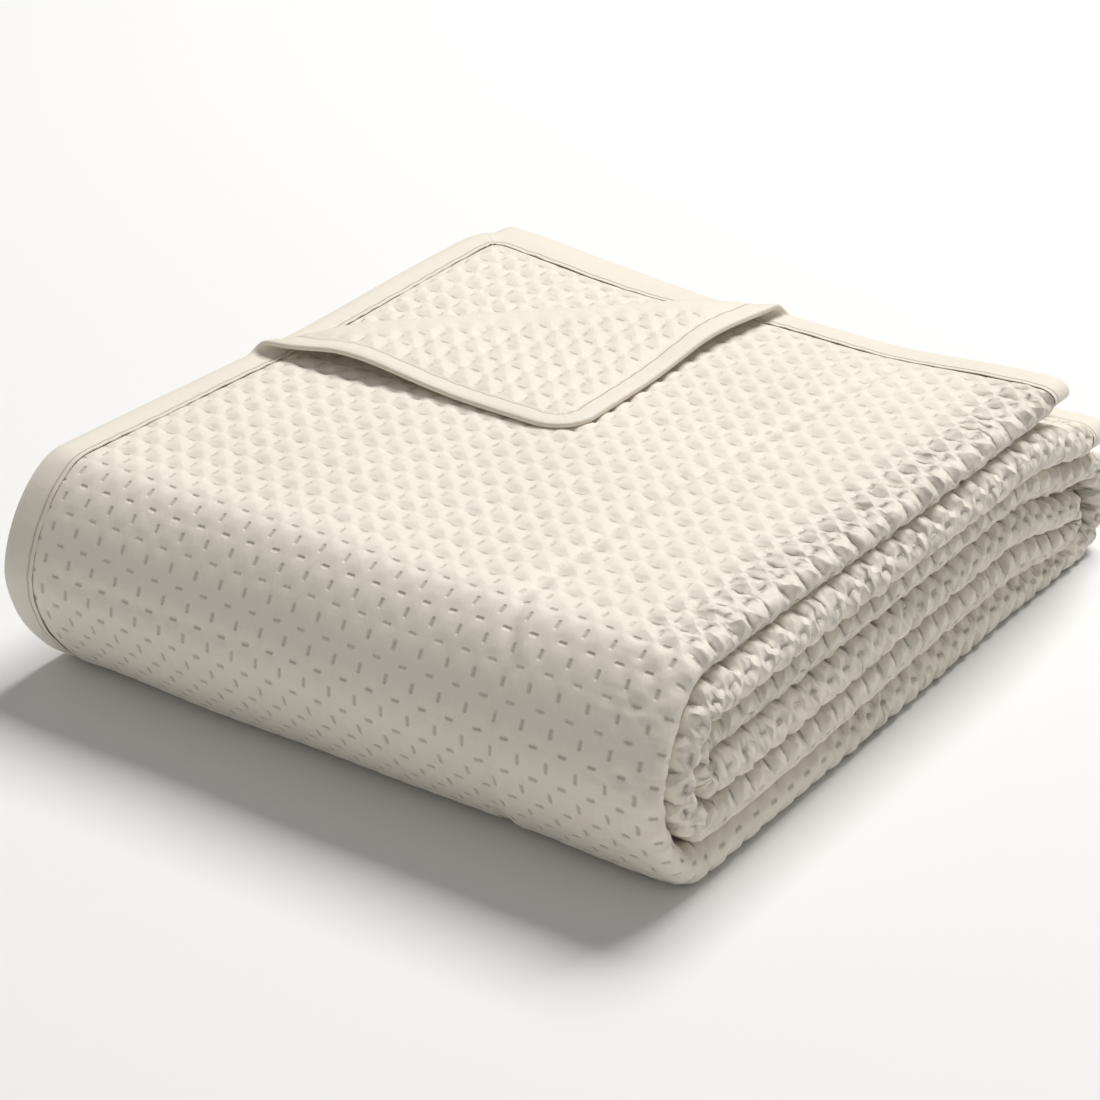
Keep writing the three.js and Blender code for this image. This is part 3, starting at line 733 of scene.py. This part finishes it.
binding_cloth = Finish("binding cloth")
tape_place = binding_cloth.node("ShaderNodeUVMap", {"uv_map": "flat"})
tape_u = binding_cloth.node("ShaderNodeSeparateXYZ", inputs=[tape_place])
tape_weave = binding_cloth.node("ShaderNodeTexNoise", {"noise_dimensions": "2D"},
                                {"Vector": tape_place, "Scale": 30.0, "Detail": 3.0})
tape_wrinkle = binding_cloth.node("ShaderNodeTexNoise", {"noise_dimensions": "2D"},
                                  {"Vector": tape_place, "Scale": 2.5, "Detail": 3.0, "Distortion": 0.5})
from_seam = abs(abs(tape_u) - (BAND - SEAM_IN) / REPEAT)
seam = (1 - from_seam / SEAM_HALF).math("MAXIMUM", 0)
tape_height = tape_wrinkle * 0.4 + tape_weave * 0.05 - seam * 0.8
tape_bump = binding_cloth.node("ShaderNodeBump", inputs={
    "Strength": 0.7, "Distance": 0.0008, "Height": tape_height})
tape_colour = binding_cloth.blend(seam * 0.5, PLAIN, colour(160, 152, 136))
binding_cloth.give(Base_Color=tape_colour, Roughness=0.55 + 0.1 * tape_weave, Normal=tape_bump,
                   Sheen_Weight=0.2, Sheen_Roughness=0.4, Specular_IOR_Level=0.35)


def mitred(along, inward):
    """Along the edge, squeezed near the corner so that two tapes meet on its diagonal."""
    corner = CORNER_ROUND + 2
    return np.where(along < corner, mix(inward + MITRE_GAP, corner, along / corner), along)


def both_mitred(along, inward, length):
    return length - mitred(length - mitred(along, inward), inward)


side_stops = [(0, 2.5), (CORNER_LEG + 12, 5)]
for start, end in BEND_T:
    side_stops += [(start, 2.5), (end, 7)]
side_stops += [(CLOTH_LENGTH, 0)]
end_stops = [(0, 2.5), (CORNER_LEG + 12, 8)]
for segment in SECTION[1:-1]:
    if "fold" in segment:
        end_stops += [(segment["s"][0], 2), (segment["s"][1], 8)]
end_stops += [(CLOTH_WIDTH, 0)]

side_first = tape("side_binding_left", side_stops, True, lambda along, inward, offset: place(
    inward, both_mitred(along, inward, CLOTH_LENGTH), offset))
side_second = tape("side_binding_right", side_stops, False, lambda along, inward, offset: place(
    CLOTH_WIDTH - inward, both_mitred(along, inward, CLOTH_LENGTH), offset))
end_top = tape("end_binding_upper", end_stops, True, lambda along, inward, offset: place(
    both_mitred(along, inward, CLOTH_WIDTH), inward, offset))
end_second = tape("end_binding_lower", end_stops, False, lambda along, inward, offset: place(
    both_mitred(along, inward, CLOTH_WIDTH), CLOTH_LENGTH - inward, offset))
for piece, node, length in (
    (side_first, "side_binding_first", CLOTH_LENGTH),
    (side_second, "side_binding_second", CLOTH_LENGTH),
    (end_top, "end_binding_top", CLOTH_WIDTH),
    (end_second, "end_binding_second", CLOTH_WIDTH),
):
    piece.data.materials.append(binding_cloth.material)
    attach(piece, "root")
    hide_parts(node)
    length / 1000
CLOTH_WIDTH / 1000
CLOTH_LENGTH / 1000

# Floor and light: a plain pale floor under a broad soft light from above and behind, with a much
# weaker one from the front.
bpy.ops.mesh.primitive_plane_add(size=12, location=(0, 0, -0.0006))
floor = bpy.context.active_object
floor.name = "floor"
pale = Finish("pale floor")
pale.give(Base_Color=(0.84, 0.84, 0.835, 1), Roughness=0.9)
floor.data.materials.append(pale.material)

world = bpy.data.worlds.new("studio")
bpy.context.scene.world = world
world.use_nodes = True
world.node_tree.nodes["Background"].inputs[0].default_value = (1.0, 0.995, 0.985, 1)
world.node_tree.nodes["Background"].inputs[1].default_value = 0.25


def soft_light(name, position, aim, width, power, tint):
    data = bpy.data.lights.new(name, "AREA")
    data.shape = "SQUARE"
    data.size = width
    data.energy = power
    data.color = tint
    light = bpy.data.objects.new(name, data)
    light.location = position
    direction = (aim[0] - position[0], aim[1] - position[1], aim[2] - position[2])
    light.rotation_euler = Vector(direction).to_track_quat("-Z", "Y").to_euler()
    bpy.context.scene.collection.objects.link(light)


soft_light("key", (0.1, 2.4, 4.2), (0, 0, 0.08), 2.3, 240, (1.0, 0.99, 0.97))
soft_light("fill", (0.5, -2.4, 2.2), (0, 0, 0.05), 2.0, 5, (1.0, 0.99, 0.98))
bpy.context.scene.view_settings.view_transform = "Standard"

# Camera, at the photo's place: 35 degrees round from the front and 26.5 degrees down.
camera_data = bpy.data.cameras.new("camera")
camera_data.sensor_width = 36
camera_data.lens = 87.07
camera = bpy.data.objects.new("camera", camera_data)
camera.location = (0.6930, -1.0278, 0.6524)
camera.rotation_euler = (math.radians(63.50), 0, math.radians(34.98))
bpy.context.scene.collection.objects.link(camera)
bpy.context.scene.camera = camera
